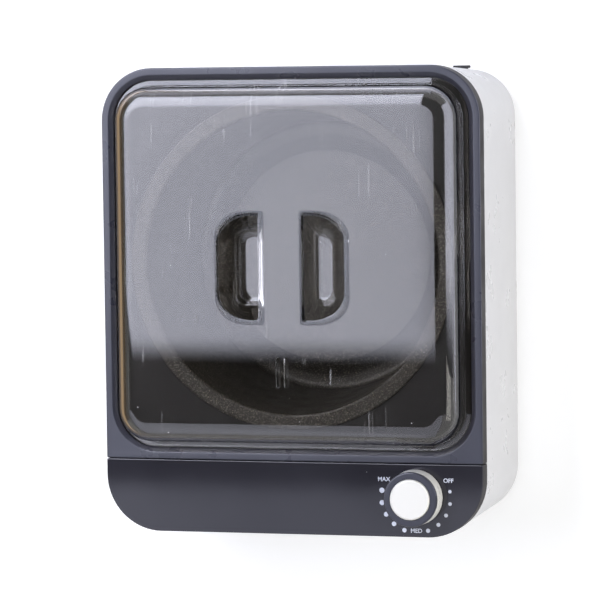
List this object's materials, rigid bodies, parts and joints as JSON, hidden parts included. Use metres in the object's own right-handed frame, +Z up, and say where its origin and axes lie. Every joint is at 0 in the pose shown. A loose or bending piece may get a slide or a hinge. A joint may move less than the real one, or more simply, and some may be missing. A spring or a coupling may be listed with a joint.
{
  "type": "wax_heater",
  "caption": "A bench-top wax heater: a white housing with a slate frame, a lift-out pot under a smoky clear lid with finger pockets, and a turning heat knob on a glossy front panel.",
  "frame": {"origin": "Under the middle of the part, on the plane of its rubber feet.", "axes": "+Z is up through the lid, -Y is the front with the control panel, +Y the rear with the cord gland, +X the right-hand side where the knob is."},
  "size_m": [0.22, 0.262, 0.123],
  "materials": {
    "white_plastic": "satin",
    "slate_plastic": "satin",
    "gloss_plastic": "gloss",
    "deck_plastic": "matte",
    "smoky_clear": "gloss",
    "coated_pot": "non-stick coating",
    "aluminium": "satin",
    "steel": "satin",
    "copper": "satin",
    "brass": "satin",
    "rubber": "matte",
    "silicone": "matte",
    "felt": "matte",
    "ceramic": "matte",
    "phenolic": "matte",
    "red_wire": "satin",
    "blue_wire": "satin"
  },
  "bodies": {
    "base": {"bottom_plate": "white_plastic", "bulb_saddle": "steel", "capillary_tube": "copper", "clamp_nut": "steel", "control_panel": "gloss_plastic", "cord_gland": "rubber", "deck_plate": "deck_plastic", "element_clamp": "steel", "element_pin_left": "ceramic", "element_pin_right": "ceramic", "foot_front_left": "rubber", "foot_front_right": "rubber", "foot_rear_left": "rubber", "foot_rear_right": "rubber", "fuse_saddle": "steel", "fuse_wire": "red_wire", "gland_nut": "phenolic", "heating_element": "steel", "heating_well": "aluminium", "housing": "white_plastic", "housing_screw_1": "steel", "housing_screw_2": "steel", "housing_screw_3": "steel", "housing_screw_4": "steel", "live_wire": "red_wire", "neutral_wire": "blue_wire", "sensor_bulb": "copper", "switched_wire": "red_wire", "terminal_block": "ceramic", "terminal_screw_left": "brass", "terminal_screw_right": "brass", "thermal_fuse": "ceramic", "thermostat_body": "phenolic", "thermostat_screw_1": "steel", "thermostat_screw_2": "steel", "top_frame": "slate_plastic", "well_insulation": "felt", "well_screw_1": "steel", "well_screw_2": "steel", "well_screw_3": "steel", "well_seal": "silicone"},
    "knob": {"knob_body": "white_plastic", "knob_ring": "slate_plastic", "knob_cap": "white_plastic", "thermostat_shaft": "steel"},
    "pot": {"pot": "coated_pot"},
    "lid": {"lid": "smoky_clear"}
  },
  "joints": [
    {"name": "knob_turn", "type": "hinge", "parent": "base", "child": "knob", "pos_m": [0.0715, -0.1085, 0.106], "axis": [0, 0, 1], "range_deg": [-240, 0]},
    {"name": "pot_lift", "type": "slide", "parent": "base", "child": "pot", "axis": [0, 0, 1], "range_m": [0, 0.11]},
    {"name": "lid_lift", "type": "slide", "parent": "pot", "child": "lid", "axis": [0, 0, 1], "range_m": [0, 0.07]}
  ]
}
